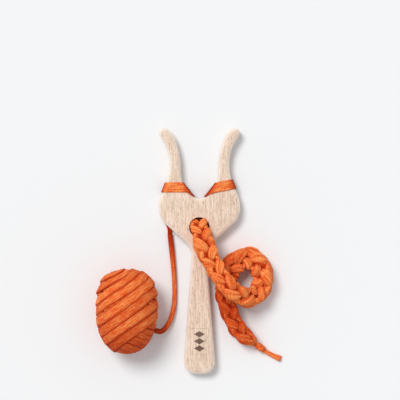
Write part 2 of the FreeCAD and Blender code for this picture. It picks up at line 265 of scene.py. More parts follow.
# %% [markdown]
# ## The fork
#
# The real fork is sawn from one board, bored, and run against a rounding cutter on both faces,
# so its edge is a true quarter round and its faces stay flat. Sculpting would make the faces
# wavy. Here the node is cut through at half its height, which gives the exact outline. That
# outline is extruded to the board's thickness, its edges are bevelled, and the hole is bored
# last with a round cutter, as in the workshop.

# %% Fork
edge_round = 2.8 * mm
edge_segments = 7
hole_easing = 0.7 * mm
hole_easing_segments = 3
hole_segments = 64
cutter_depth = 40 * mm
flat_enough = 0.9
upright_enough = 0.5
rim_reach = 0.2 * mm
smooth_angle = math.radians(40)


def is_rim(edge, around_hole):
    """Whether an edge lies between a flat face and a wall, round the hole or round the fork."""
    if len(edge.link_faces) != 2:
        return False
    first, second = (abs(face.normal.z) for face in edge.link_faces)
    middle = (edge.verts[0].co + edge.verts[1].co) / 2
    in_hole = (middle.xy - hole_place.xy).length < hole_radius + rim_reach
    is_corner = max(first, second) > flat_enough and min(first, second) < upright_enough
    return is_corner and in_hole == around_hole


def round_rims(piece, around_hole, width, segments):
    """Bevels the rims of the hole, or all the others."""
    bpy.ops.mesh.select_all(action="DESELECT")
    bpy.ops.mesh.select_mode(type="EDGE")
    mesh = bmesh.from_edit_mesh(piece.data)
    for edge in mesh.edges:
        edge.select_set(is_rim(edge, around_hole))
    bmesh.update_edit_mesh(piece.data)
    bpy.ops.mesh.bevel(offset=width, segments=segments)


def fork_outline(piece):
    """Leaves only the outer line of a cut through the middle of the fork, as one flat face."""
    middle_z = (back_z + front_z) / 2
    bpy.ops.mesh.bisect(
        plane_co=(0, 0, middle_z), plane_no=(0, 0, 1), clear_outer=True, clear_inner=True
    )
    bpy.ops.mesh.select_all(action="DESELECT")
    bpy.ops.mesh.select_mode(type="VERT")
    mesh = bmesh.from_edit_mesh(piece.data)
    for vertex in mesh.verts:
        vertex.select_set((vertex.co.xy - hole_place.xy).length < hole_radius + hole_easing)
    bmesh.update_edit_mesh(piece.data)
    bpy.ops.mesh.delete(type="VERT")
    bpy.ops.mesh.select_all(action="SELECT")
    bpy.ops.mesh.edge_face_add()
    bpy.ops.transform.translate(value=(0, 0, back_z - middle_z))


def bore_hole(piece):
    """Bores the hole with a round cutter."""
    bpy.ops.object.select_all(action="DESELECT")
    bpy.ops.mesh.primitive_cylinder_add(
        vertices=hole_segments, radius=hole_radius, depth=cutter_depth, location=hole_place
    )
    cutter = bpy.context.object
    apply_modifier(piece, "BOOLEAN", operation="DIFFERENCE", solver="EXACT", object=cutter)
    bpy.data.objects.remove(cutter)


def make_fork():
    """The board with its outline, its hole and its rounded edges."""
    fork = copy_of_node("fork", "beech_fork")
    edit_whole(fork)
    fork_outline(fork)
    bpy.ops.mesh.extrude_region_move(TRANSFORM_OT_translate={"value": (0, 0, front_z - back_z)})
    bpy.ops.mesh.select_all(action="SELECT")
    bpy.ops.mesh.normals_make_consistent(inside=False)
    round_rims(fork, False, edge_round, edge_segments)
    bpy.ops.object.mode_set(mode="OBJECT")
    bore_hole(fork)
    edit_whole(fork)
    round_rims(fork, True, hole_easing, hole_easing_segments)
    bpy.ops.object.mode_set(mode="OBJECT")
    bpy.ops.object.shade_smooth_by_angle(angle=smooth_angle)
    apply_modifier(fork, "WEIGHTED_NORMAL", keep_sharp=True)
    return fork


fork = make_fork()
print(f"fork: {count_triangles(fork)} triangles")

# %% [markdown]
# ## Building materials from nodes
#
# A material here is a small network of nodes. A few short helpers keep each network readable:
# one makes a node, one joins an output to an input, one does plain arithmetic with Math nodes,
# one holds a value between zero and a limit, and others add noise and a fine relief.


# %% Helpers for nodes
def add_node(tree, kind, **values):
    """A node of this kind. Values with a capital are its sockets, and the rest its settings."""
    node = tree.nodes.new(kind)
    for name, value in values.items():
        if name[0].isupper():
            node.inputs[name.replace("_", " ")].default_value = value
        else:
            setattr(node, name, value)
    return node


def feed(tree, value, socket):
    """Gives a socket its value, which is a number, a colour or another node's output."""
    if isinstance(value, bpy.types.NodeSocket):
        tree.links.new(value, socket)
    else:
        socket.default_value = value


def maths_in(tree):
    """A function that adds a Math node to this tree and gives its output."""

    def maths(operation, *values):
        node = add_node(tree, "ShaderNodeMath", operation=operation)
        for socket, value in zip(node.inputs, values):
            feed(tree, value, socket)
        return node.outputs[0]

    return maths


def hold(maths, value, most):
    """The value, held between 0 and the most that it may be."""
    return maths("MINIMUM", maths("MAXIMUM", value, 0.0), most)


def blend_colours(tree, share, first, second):
    """A colour between two others."""
    node = add_node(tree, "ShaderNodeMix", data_type="RGBA")
    sockets = (node.inputs[0], node.inputs[6], node.inputs[7])
    for socket, value in zip(sockets, (share, first, second)):
        feed(tree, value, socket)
    return node.outputs[2]


def split_place(tree, place):
    """The three parts of a place."""
    split = add_node(tree, "ShaderNodeSeparateXYZ")
    feed(tree, place, split.inputs[0])
    return split.outputs


def object_places(tree):
    """Places on the object, in its own measure."""
    return add_node(tree, "ShaderNodeTexCoord").outputs["Object"]


def add_noise(tree, place, scale, detail, roughness):
    """Noise read at these places."""
    noise = add_node(tree, "ShaderNodeTexNoise", Scale=scale, Detail=detail, Roughness=roughness)
    feed(tree, place, noise.inputs["Vector"])
    return noise.outputs["Fac"]


def add_relief(tree, shader, height, strength, distance):
    """Gives the shader a fine relief from a height."""
    bump = add_node(tree, "ShaderNodeBump", Strength=strength, Distance=distance)
    feed(tree, height, bump.inputs["Height"])
    feed(tree, bump.outputs["Normal"], shader.inputs["Normal"])


def new_material(name):
    """An empty material with its node tree and its shader."""
    material = bpy.data.materials.new(name)
    material.use_nodes = True
    tree = material.node_tree
    return material, tree, tree.nodes["Principled BSDF"]


def new_group(name, inputs, outputs):
    """An empty node group with named sockets, and its two end nodes."""
    group = bpy.data.node_groups.new(name, "ShaderNodeTree")
    for socket, kind in inputs:
        group.interface.new_socket(name=socket, in_out="INPUT", socket_type="NodeSocket" + kind)
    for socket, kind in outputs:
        group.interface.new_socket(name=socket, in_out="OUTPUT", socket_type="NodeSocket" + kind)
    return group, group.nodes.new("NodeGroupInput").outputs, group.nodes.new("NodeGroupOutput").inputs


# %% [markdown]
# ## The finish of the wood
#
# Beech is pale and pinkish, with a fine straight grain along the board and short dark flecks,
# the rays, all over it. Both are stretched noise on Object coordinates, so the grain runs on
# through the board and round its edges as in real wood. Below the flat front face the rounded
# edges are painted lighter, a painted highlight where they catch the light. A small plain mark
# is burnt into the handle, three diamonds in a thin frame. It is worked out from the distance
# to each shape.

# %% Beech
wood_light = (0.88, 0.72, 0.585, 1)
wood_dark = (0.60, 0.40, 0.275, 1)
wood_fleck = (0.38, 0.215, 0.13, 1)
wood_rim_highlight = (0.97, 0.90, 0.83, 1)
burn_dark = (0.10, 0.045, 0.022, 1)
burn_y = -66.0 * mm
burn_diamond = (4.3 * mm, 2.5 * mm)
burn_pitch = 5.2 * mm
burn_frame = (6.4 * mm, 9.4 * mm)
burn_line = 0.3 * mm
burn_row = 3
burn_crisp = 7.0
burn_line_strength = 0.45
burn_below = 0.5 * mm
grain_size = (0.55 * mm, 9 * mm)
tone_size = (5 * mm, 60 * mm)
fleck_size = (0.40 * mm, 2.8 * mm)
grain_gain = 3.4
tone_gain = 0.7
wood_shift = -1.72
fleck_gain = 9.0
fleck_shift = -5.4
fleck_most = 0.6
rim_highlight_depth = 1.2 * mm
rim_highlight_shift = -0.1
rim_highlight_most = 0.55
wood_roughness = 0.42
grain_roughness = 0.25
wood_relief = 0.35
wood_relief_depth = 0.12 * mm


def stretched_noise(tree, place, size, detail):
    """Noise with features of this size across and along the grain."""
    across, along = size
    mapping = add_node(tree, "ShaderNodeMapping", Scale=(1 / across, 1 / along, 1 / across))
    feed(tree, place, mapping.inputs["Vector"])
    return add_noise(tree, mapping.outputs["Vector"], 1.0, detail, 0.6)


def make_burn_group():
    """How strongly the wood is burnt, from a place on it."""
    group, start, end = new_group("burnt_diamonds", [("Place", "Vector")], [("Burn", "Float")])
    maths = maths_in(group)
    across, along, height = split_place(group, start["Place"])
    across = maths("ABSOLUTE", across)
    along = maths("SUBTRACT", along, burn_y)
    far = maths("ABSOLUTE", along)
    in_row = maths("LESS_THAN", far, burn_pitch * burn_row / 2)
    near = maths("ABSOLUTE", maths("WRAP", along, burn_pitch / 2, -burn_pitch / 2))
    reach = maths("DIVIDE", across, burn_diamond[0])
    reach = maths("ADD", reach, maths("DIVIDE", near, burn_diamond[1]))
    diamond = maths("MULTIPLY", maths("SUBTRACT", 1.0, reach), burn_crisp)
    diamond = maths("MULTIPLY", hold(maths, diamond, 1.0), in_row)
    beyond_side = maths("SUBTRACT", across, burn_frame[0])
    beyond_end = maths("SUBTRACT", far, burn_frame[1])
    from_frame = maths("ABSOLUTE", maths("MAXIMUM", beyond_side, beyond_end))
    line = maths("DIVIDE", maths("SUBTRACT", burn_line, from_frame), burn_line)
    line = maths("MULTIPLY", maths("MAXIMUM", line, 0.0), burn_line_strength)
    on_front = maths("GREATER_THAN", height, front_z - burn_below)
    feed(group, maths("MULTIPLY", maths("MAXIMUM", diamond, line), on_front), end["Burn"])
    return group


def make_beech():
    """The wood's material."""
    material, tree, shader = new_material("pale_beech")
    maths = maths_in(tree)
    place = object_places(tree)
    grain = stretched_noise(tree, place, grain_size, 4.0)
    tone = stretched_noise(tree, place, tone_size, 2.0)
    fleck = stretched_noise(tree, place, fleck_size, 1.0)
    share = maths("MULTIPLY_ADD", grain, grain_gain, wood_shift)
    share = hold(maths, maths("MULTIPLY_ADD", tone, tone_gain, share), 1.0)
    colour = blend_colours(tree, share, wood_light, wood_dark)
    flecks = hold(maths, maths("MULTIPLY_ADD", fleck, fleck_gain, fleck_shift), fleck_most)
    colour = blend_colours(tree, flecks, colour, wood_fleck)
    height = split_place(tree, place)[2]
    # Painted highlight: below the flat front face, the rounded edges and the sides are painted
    # lighter.
    below = maths("MULTIPLY_ADD", height, -1 / rim_highlight_depth, front_z / rim_highlight_depth + rim_highlight_shift)
    colour = blend_colours(tree, hold(maths, below, rim_highlight_most), colour, wood_rim_highlight)
    burn = add_node(tree, "ShaderNodeGroup", node_tree=make_burn_group())
    feed(tree, place, burn.inputs["Place"])
    char = maths("MULTIPLY", burn.outputs["Burn"], maths("MULTIPLY_ADD", grain, 0.5, 0.68))
    colour = blend_colours(tree, maths("MINIMUM", char, 1.0), colour, burn_dark)
    feed(tree, colour, shader.inputs["Base Color"])
    dullness = maths("MULTIPLY_ADD", grain, grain_roughness, wood_roughness)
    feed(tree, dullness, shader.inputs["Roughness"])
    height = maths("SUBTRACT", maths("SUBTRACT", 1.0, flecks), char)
    height = maths("MULTIPLY_ADD", grain, 0.5, height)
    add_relief(tree, shader, height, wood_relief, wood_relief_depth)
    return material


fork.data.materials.append(make_beech())
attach(fork, "root")
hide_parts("fork")
print("beech: grain, rays and a burnt mark")

# %% [markdown]
# ## The finish of the tape yarn
#
# The yarn is a knitted cotton tape, bright orange, with fine ribs across it where its stitches
# lie. The same knit shows on the horns, the free run, the ball and the cord, so it is one node
# group that asks how far along and across the tape a point lies, and how much painted shade and
# tone it has. Its colour is painted lighter on the rib crests and along lengthwise streaks, a
# painted highlight, and darker in the valleys, a painted shade that turns redder, as light that
# bounces between orange fibres does.

# %% Knitted tape
tape_light = (1.0, 0.40, 0.120, 1)
tape_orange = (0.82, 0.095, 0.010, 1)
# The dark red that painted shade turns the tape to.
tape_shade = (0.30, 0.012, 0.001, 1)
rib_pitch = 1.05
rib_height = 0.32
rib_lean = 0.9
rib_wander = 0.9
wander_scale = 260.0
wale_pitch = 1.3
wale_height = 0.18
cloud_scale = 620.0
cloud_light = 1.3
streak_size = (1.3, 0.14)
streak_highlight = 2.6
rib_highlight = 0.6
shade_dimming = -0.9
light_shift = -1.83
valley_shade = -1.1
valley_from = 0.5
bend_top = front_z + 0.6 * mm
bend_depth = 2.8 * mm
bend_most = 0.75
inner_from = 13.0 * mm
end_fade = 4.0 * mm
end_depth = 0.34
band_pale = 0.04
tape_roughness = 0.85
tape_shine = 0.15
tape_relief = 0.6
tape_relief_depth = 0.22 * mm


def make_knit_group():
    """The tape's colour and height, from how far along and across it a point is, in mm."""
    inputs = [(name, "Float") for name in ("Along", "Across", "Shade_and_tone", "Rib", "Pale")]
    group, start, end = new_group(
        "knitted_tape", inputs + [("Place", "Vector")], [("Color", "Color"), ("Height", "Float")]
    )
    maths = maths_in(group)
    wander = add_noise(group, start["Place"], wander_scale, 2.0, 0.5)
    drift = maths("MULTIPLY_ADD", wander, rib_wander, -rib_wander / 2)
    turn = 2 * math.pi
    across = maths("MULTIPLY", start["Across"], turn / wale_pitch)
    lean = maths("MULTIPLY", maths("ABSOLUTE", maths("SINE", across)), rib_lean)
    along = maths("MULTIPLY", maths("ADD", start["Along"], drift), turn / rib_pitch)
    rib = maths("MULTIPLY", maths("SINE", maths("ADD", along, lean)), rib_height)
    knit = maths("MULTIPLY_ADD", maths("SINE", across), wale_height, rib)
    height = maths("MULTIPLY_ADD", knit, start["Rib"], 0.5)
    lie = add_node(group, "ShaderNodeCombineXYZ")
    feed(group, maths("MULTIPLY", start["Across"], streak_size[0]), lie.inputs["X"])
    feed(group, maths("MULTIPLY", start["Along"], streak_size[1]), lie.inputs["Y"])
    cloud = add_noise(group, start["Place"], cloud_scale, 3.0, 0.6)
    # Lengthwise streaks: a painted highlight along the tape's folds, which also makes its tone
    # uneven.
    streak = add_noise(group, lie.outputs[0], 1.0, 2.0, 0.5)
    light = maths("MULTIPLY_ADD", cloud, cloud_light, light_shift)
    light = maths("MULTIPLY_ADD", streak, streak_highlight, light)
    # Painted highlight on the rib crests, and painted shade between them.
    light = maths("MULTIPLY_ADD", height, rib_highlight, light)
    # The painted shade and tone that each piece carries dim its light colour, and darken it below.
    light = maths("MULTIPLY_ADD", start["Shade_and_tone"], shade_dimming, light)
    light = hold(maths, maths("ADD", light, start["Pale"]), 1.0)
    colour = blend_colours(group, light, tape_orange, tape_light)
    # Painted shade in the valleys of the knit, darker and redder.
    valley = maths("MAXIMUM", maths("MULTIPLY_ADD", height, valley_shade, valley_from), 0.0)
    dark = maths("MINIMUM", maths("ADD", valley, start["Shade_and_tone"]), 1.0)
    feed(group, blend_colours(group, dark, colour, tape_shade), end["Color"])
    feed(group, height, end["Height"])
    return group


knit_group = make_knit_group()


def finish_tape(material, tree, shader, along, across, shade_and_tone, rib, pale):
    """Lays the knit on a material whose tape runs along and across these values, in mm."""
    knit = add_node(tree, "ShaderNodeGroup", node_tree=knit_group, Rib=rib, Pale=pale)
    places = object_places(tree)
    for name, value in (("Place", places), ("Along", along), ("Across", across), ("Shade_and_tone", shade_and_tone)):
        feed(tree, value, knit.inputs[name])
    feed(tree, knit.outputs["Color"], shader.inputs["Base Color"])
    add_relief(tree, shader, knit.outputs["Height"], tape_relief, tape_relief_depth)
    shader.inputs["Roughness"].default_value = tape_roughness
    shader.inputs["Specular IOR Level"].default_value = tape_shine
    return material


def make_laid_tape(name, rib, pale):
    """Tape with its own UV map, in millimetres, and a mark of the painted shade and tone at each
    point.
    """
    material, tree, shader = new_material(name)
    uv = add_node(tree, "ShaderNodeUVMap", uv_map="UVMap").outputs[0]
    across, along = split_place(tree, uv)[:2]
    # The mark of painted shade and tone that each piece carries on its mesh.
    shade_and_tone = add_node(tree, "ShaderNodeAttribute", attribute_name="shade_and_tone").outputs["Fac"]
    return finish_tape(material, tree, shader, along, across, shade_and_tone, rib, pale)


def make_wrapped_tape(name, slope, outer_from):
    """Tape round a horn, on this slope over the face, with painted shade where it bends down over the
    wood's rounded edge, and darker and redder towards both its ends.
    """
    material, tree, shader = new_material(name)
    maths = maths_in(tree)
    x, y, z = split_place(tree, object_places(tree))
    cosine = math.cos(math.radians(slope)) / mm
    sine = math.sin(math.radians(slope)) / mm
    flat = maths("MULTIPLY_ADD", y, sine, maths("MULTIPLY", x, cosine))
    along = maths("ADD", maths("ABSOLUTE", flat), maths("MULTIPLY", z, -1 / mm))
    across = maths("MULTIPLY_ADD", y, cosine, maths("MULTIPLY", x, -sine))
    # Painted shade where the tape bends down over the wood's rounded edge.
    bend = maths("MULTIPLY_ADD", z, -1 / bend_depth, bend_top / bend_depth)
    from_middle = maths("ABSOLUTE", x)
    inwards = maths("MULTIPLY_ADD", from_middle, -1 / end_fade, inner_from / end_fade)
    outwards = maths("MULTIPLY_ADD", from_middle, 1 / end_fade, -outer_from / end_fade)
    ends = hold(maths, maths("MAXIMUM", inwards, outwards), 1.0)
    shade_and_tone = maths("MULTIPLY_ADD", ends, end_depth, hold(maths, bend, bend_most))
    return finish_tape(material, tree, shader, along, across, shade_and_tone, 1.0, band_pale)


laid_tape = make_laid_tape("orange_tape_laid", 0.8, -0.05)
wound_tape = make_laid_tape("orange_tape_wound", 0.9, 0.0)
drawn_tape = make_laid_tape("orange_tape_drawn_up", 0.3, 0.05)
print("tape: ribs every", rib_pitch, "mm")

# %% [markdown]
# ## The tape round the horns
#
# Each loop is soft tape pulled tight over rounded wood, so it takes the fork's shape outside
# and rounds off at its own edges. The node already fits the wood. A voxel remesh gives it an
# even skin, which is drawn a little closer to the wood than the node's plain sides are.
# Smoothing that skin then softens the cut corners and lets the edges roll.

# %% Horn loops
skin_voxel = 0.36 * mm
skin_puff = 0.1 * mm
skin_smoothing = 9
bands_from = 30 * mm
tape_flat = 1.2 * mm
drawn_thin = 0.7
drawn_in = 0.2
yarn_exit = Vector(lead_route[0])
yarn_near = 3.0 * mm
yarn_reach = 9.0 * mm
yarn_shift = 1.1 * mm
yarn_lean = 0.24
yarn_squeeze = 0.28
yarn_strip = 3.5 * mm
strip_lean = 0.12


def draw_close(loop):
    """Draws the tape closer to the wood over the face and the sides.

    Where the free yarn starts, the tape behind the head is moved over to meet it.
    """
    for vertex in loop.data.vertices:
        level = Vector((vertex.co.x, vertex.co.y, (back_z + front_z) / 2))
        wall, normal = fork.closest_point_on_mesh(level)[1:3]
        gap = (level - wall).length
        if (level - wall).dot(normal) > 0 and vertex.co.y > bands_from:
            drawn_gap = drawn_thin * min(gap, tape_flat) + drawn_in * max(0.0, gap - tape_flat)
            vertex.co.xy = wall.xy + (level - wall).xy * (drawn_gap / gap)
        if vertex.co.z > front_z:
            vertex.co.z = front_z + (vertex.co.z - front_z) * drawn_thin
        near_yarn = 1 - ease(((vertex.co - yarn_exit).length - yarn_near) / yarn_reach)
        past_exit = vertex.co.y - yarn_exit.y
        vertex.co.x += near_yarn * (yarn_shift + yarn_lean * past_exit)
        aside = vertex.co.x - yarn_exit.x + strip_lean * past_exit
        if abs(aside) < yarn_strip:
            vertex.co.x -= near_yarn * yarn_squeeze * aside


def make_horn_loop(node, name, slope, outer_from):
    """Soft tape in the shape of a horn loop's node."""
    loop = copy_of_node(node, name)
    apply_modifier(loop, "REMESH", mode="VOXEL", voxel_size=skin_voxel, use_smooth_shade=True)
    apply_modifier(loop, "DISPLACE", strength=skin_puff, mid_level=0.0, direction="NORMAL")
    draw_close(loop)
    apply_modifier(loop, "SMOOTH", factor=0.5, iterations=skin_smoothing)
    for vertex in loop.data.vertices:
        vertex.co.z = max(vertex.co.z, 0.0)
    bpy.ops.object.shade_smooth()
    loop.data.materials.append(make_wrapped_tape(name + "_tape", slope, outer_from))
    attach(loop, "root")
    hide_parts(node)
    print(f"{name}: {count_triangles(loop)} triangles")


make_horn_loop("left_horn_loop", "left_loop", 0.0, 25.0 * mm)
make_horn_loop("right_horn_loop", "right_loop", 11.0, 20.5 * mm)

# %% [markdown]
# ## Laying tape along a line
#
# The free yarn, the ball and the cut end are all the same tape laid along a line. One function
# carries a section along the line. At each place it knows the way out of the surface that the
# tape lies on, so the flat of the tape can face outwards. The UV map is written in real
# millimetres, so the knit keeps its size on every piece. A piece may hold many such shapes, so
# a small class gathers them before one mesh is made of them all.

# %% Tape along a line
section_corners = 18
section_powers = (0.45, 0.8)
edge_from = 0.6


def flat_section(width, thickness, crown):
    """A tape's section with round edges, as (across, out) places, bulging by its crown."""
    places = []
    for i in range(section_corners):
        turn = 2 * math.pi * i / section_corners
        across = math.copysign(abs(math.cos(turn)) ** section_powers[0], math.cos(turn))
        out = math.copysign(abs(math.sin(turn)) ** section_powers[1], math.sin(turn))
        places.append((across * width / 2, out * thickness / 2 + crown * (1 - across**2)))
    return places


def edge_shade(sections, base, depth):
    """The painted shade at each place of some sections: more towards the two edges of the tape."""
    shade_and_tone = []
    for section in sections:
        half = max(abs(across) for across, out in section)
        for across, out in section:
            beyond = max(0.0, abs(across) / half - edge_from)
            shade_and_tone.append(base + depth * beyond / (1 - edge_from))
    return shade_and_tone


def lay_tape(points, outwards, sections):
    """Places, faces and UVs of a tape along points, with an outward way and a section at each."""
    size = len(sections[0])
    girth = [0.0]
    for i in range(size):
        side = math.dist(sections[0][i], sections[0][(i + 1) % size])
        girth.append(girth[-1] + side / mm)
    places, faces, uvs, marks = [], [], [], []
    along = 0.0
    for i, point in enumerate(points):
        before = points[max(i - 1, 0)]
        after = points[min(i + 1, len(points) - 1)]
        heading = (after - before).normalized()
        across = heading.cross(outwards[i]).normalized()
        out = across.cross(heading)
        places += [point + across * a + out * o for a, o in sections[i]]
        along += (point - before).length / mm
        marks.append(along)
    for i in range(len(points) - 1):
        here, ahead = i * size, (i + 1) * size
        for k in range(size):
            beside = (k + 1) % size
            faces.append((here + k, here + beside, ahead + beside, ahead + k))
            uvs += [(girth[k], marks[i]), (girth[k + 1], marks[i])]
            uvs += [(girth[k + 1], marks[i + 1]), (girth[k], marks[i + 1])]
    last = (len(points) - 1) * size
    for cap in (list(range(size))[::-1], list(range(last, last + size))):
        faces.append(tuple(cap))
        uvs += [(girth[index % size], marks[index // size]) for index in cap]
    return places, faces, uvs


class Shapes:
    """The shapes of one piece: their places, faces, UVs, and the painted shade and tone at each
    place.
    """

    def __init__(self):
        self.places, self.faces, self.uvs, self.shade_and_tone = [], [], [], []

    def add(self, shape, shade_and_tone):
        """Adds a shape, with one painted shade and tone for each of its places or one for all of
        them.
        """
        places, faces, uvs = shape
        self.faces += [tuple(index + len(self.places) for index in face) for face in faces]
        self.places += places
        self.uvs += uvs
        self.shade_and_tone += shade_and_tone if isinstance(shade_and_tone, list) else [shade_and_tone] * len(places)


def build_piece(name, shapes, material):
    """One piece made of its shapes, with nothing of it under the table."""
    for place in shapes.places:
        place.z = max(place.z, 0.0)
    mesh = bpy.data.meshes.new(name)
    mesh.from_pydata(shapes.places, [], shapes.faces)
    layer = mesh.uv_layers.new(name="UVMap")
    layer.data.foreach_set("uv", [value for uv in shapes.uvs for value in uv])
    # The painted shade and tone of each place, read by the tape's material.
    mark = mesh.attributes.new("shade_and_tone", "FLOAT", "POINT")
    mark.data.foreach_set("value", shapes.shade_and_tone)
    mesh.validate()
    piece = bpy.data.objects.new(name, mesh)
    bpy.context.scene.collection.objects.link(piece)
    piece.data.materials.append(material)
    edit_whole(piece)
    bpy.ops.mesh.normals_make_consistent(inside=False)
    bpy.ops.object.mode_set(mode="OBJECT")
    bpy.ops.object.shade_smooth()
    return piece


# %% [markdown]
# ## The ball
#
# The ball is wound flat: the tape goes round and round an egg on a slant, each turn beside the
# last. A spiral gives that, with the tape's flat facing out. It tips a little, so that each
# turn rests on the edge of the one before. The outer layer starts well short of the low end,
# where the strand to the tool comes out from under the ball, and there the layer before it
# shows, wound across it in narrower turns. Wound yarn is fuller at the shoulders than a true
# egg, so seen from above the egg is drawn out a little towards a box with round corners.

# %% Ball of yarn
ball_centre = Vector((-52.7, -44.0, 22.0)) * mm
ball_half = Vector((22.5, 31.0, 22.0)) * mm
ball_power = 2.2
ball_power_above = 0.9
least_reach = 1e-6
winding_rise = math.radians(33)
winding_slant = math.atan(math.tan(winding_rise) * ball_half.x / ball_half.y)
winding_tip = -0.05
steps_in_turn = 52
small_turn = 0.01
first_step = 0.001
wave_count = 5
wound_width = 7.7 * mm
under_width = 4.7 * mm
wound_thickness = 1.5 * mm
wound_crown = 0.22 * mm
wound_edge_shade = 0.55
low_end_shade = 0.28

# A winding is its turns, its slant, its gaps round the two poles and its depth in the ball.
under_gaps = (math.radians(5), math.radians(8))
outer_gaps = (math.radians(52), math.radians(9))
inner_winding = (15, math.radians(-52), under_gaps, 3.4 * mm)
crossing_winding = (20, math.radians(-17), under_gaps, 1.5 * mm)
outer_winding = (8, winding_slant, outer_gaps, 0.9 * mm)

# A layer is its winding, how far it sways, its seed, its width and its painted shade, most on the
# inner layer.
ball_layers = [
    (inner_winding, 0.3 * mm, 3, wound_width, 0.45),
    (crossing_winding, 0.3 * mm, 5, under_width, 0.12),
    (outer_winding, 0.4 * mm, 8, wound_width, 0.10),
]


def winding_place(winding, turn):
    """The place on a winding after this many of its turns."""
    turns, slant, gaps, depth = winding
    from_pole = gaps[0] + (math.pi - gaps[0] - gaps[1]) * turn / turns
    swing = -2 * math.pi * (turn + 0.25)
    pole = Vector((math.sin(slant), -math.cos(slant), 0))
    side = Vector((math.cos(slant), math.sin(slant), 0))
    way = pole * math.cos(from_pole)
    way += side * (math.sin(from_pole) * math.cos(swing))
    way += up * (math.sin(from_pole) * math.sin(swing))
    half = ball_half - Vector((depth, depth, depth))
    power = ball_power + ball_power_above * ease(0.5 + way.y)
    in_plan = (abs(way.x) ** power + abs(way.y) ** power) ** (1 / power)
    fuller = 1 + (math.hypot(way.x, way.y) / max(in_plan, least_reach) - 1) * (1 - abs(way.z))
    return ball_centre + Vector((way.x * half.x * fuller, way.y * half.y * fuller, way.z * half.z))


def winding_start():
    """Where the outer winding starts, and which way it runs there."""
    start = winding_place(outer_winding, 0)
    ahead = winding_place(outer_winding, first_step)
    return start, (ahead - start).normalized()


def out_of_ball(place):
    """Straight out of the ball's surface at a place."""
    gap = place - ball_centre
    return Vector([reach / half**2 for reach, half in zip(gap, ball_half)]).normalized()


def wind_layer(winding, sway, seed, width):
    """The points, outward ways and sections of one layer of turns round the ball."""
    random.seed(seed)
    draw = random.uniform
    waves = [(draw(0.4, 1.7), draw(0, 6.3), draw(0.4, 1)) for _ in range(wave_count)]
    turns = winding[0]
    points, outwards, sections = [], [], []
    for i in range(turns * steps_in_turn + 1):
        turn = i / steps_in_turn
        wander = sum(size * math.sin(rate * 6.3 * turn + start) for rate, start, size in waves)
        settle = min(1.0, turn, turns - turn)
        place = winding_place(winding, turn)
        heading = (winding_place(winding, turn + small_turn) - place).normalized()
        out = out_of_ball(place)
        across = heading.cross(out).normalized()
        points.append(place + across * (sway * wander * settle))
        outwards.append(Matrix.Rotation(winding_tip, 3, heading) @ out)
        grow = 1 + 0.05 * math.sin(2.1 * turn + seed)
        sections.append(flat_section(width * grow, wound_thickness, wound_crown))
    return points, outwards, sections


def layer_shades(places, sections, base):
    """The painted shade and tone of each place of a layer: painted shade towards the tape's edges, a
    tone that is uneven along the tape, and more painted shade at the ball's low end.
    """
    shade_and_tone = edge_shade(sections, base, wound_edge_shade)
    for i, place in enumerate(places):
        step = i // section_corners
        tone = 0.12 * math.sin(0.11 * step) * math.sin(0.047 * step + 1)
        # Painted shade on the ball's low end.
        low = ease((ball_centre.y - place.y) / ball_half.y)
        shade_and_tone[i] += tone + low_end_shade * low
    return shade_and_tone


def make_ball():
    """All the layers of the ball, in one piece."""
    shapes = Shapes()
    for winding, sway, seed, width, base in ball_layers:
        points, outwards, sections = wind_layer(winding, sway, seed, width)
        shape = lay_tape(points, outwards, sections)
        shapes.add(shape, layer_shades(shape[0], sections, base))
    return build_piece("yarn_ball", shapes, wound_tape)


ball = make_ball()
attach(ball, "root")
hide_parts("yarn_ball_winding", "yarn_ball_core")
print(f"ball: {count_triangles(ball)} triangles")

# %% [markdown]
# ## The free yarn
#
# Off the ball the tape curls in on itself, and shows as a narrow strand with one edge rolled
# over. Its section is an oval with a groove beside the rolled edge. It is a real free cord, and
# it follows the smooth line through its own route.

# %% Working yarn
curl_corners = 20
curl_groove = 0.32
curl_turn = math.radians(128)
curl_spread = 0.24
yarn_shown_width = 3.7 * mm
yarn_thickness = 2.9 * mm
yarn_step = 0.9 * mm
yarn_edge_shade = 0.3
foot_run = 4.0 * mm
run_out_length = 7.0 * mm
overlap = 1.5 * mm


def curled_section(width, thickness, lean):
    """The section of curled tape, turned by its lean."""
    places = []
    for i in range(curl_corners):
        turn = 2 * math.pi * i / curl_corners
        groove = 1 - curl_groove * math.exp(-((turn - curl_turn) / curl_spread) ** 2)
        across = math.cos(turn) * width / 2 * groove
        out = math.sin(turn) * thickness / 2 * groove
        leant_across = across * math.cos(lean) - out * math.sin(lean)
        places.append((leant_across, across * math.sin(lean) + out * math.cos(lean)))
    return places


def yarn_width(share):
    """How wide the yarn shows: drawn in by the head, and opening out flat towards the ball."""
    waver = 0.08 * math.sin(9 * share + 1)
    opening = 0.7 * max(0.0, share - 0.88) / 0.12
    drawn = 0.06 * (1 - ease(share / 0.15))
    return yarn_shown_width * (1 + waver + opening - drawn)


def yarn_shade(share):
    """The painted shade on the yarn: under the head's edge, and again under the ball."""
    by_head = 0.56 * (1 - ease(share / 0.28))
    by_ball = 0.4 * ease((share - 0.66) / 0.14)
    return 0.14 + by_head + by_ball


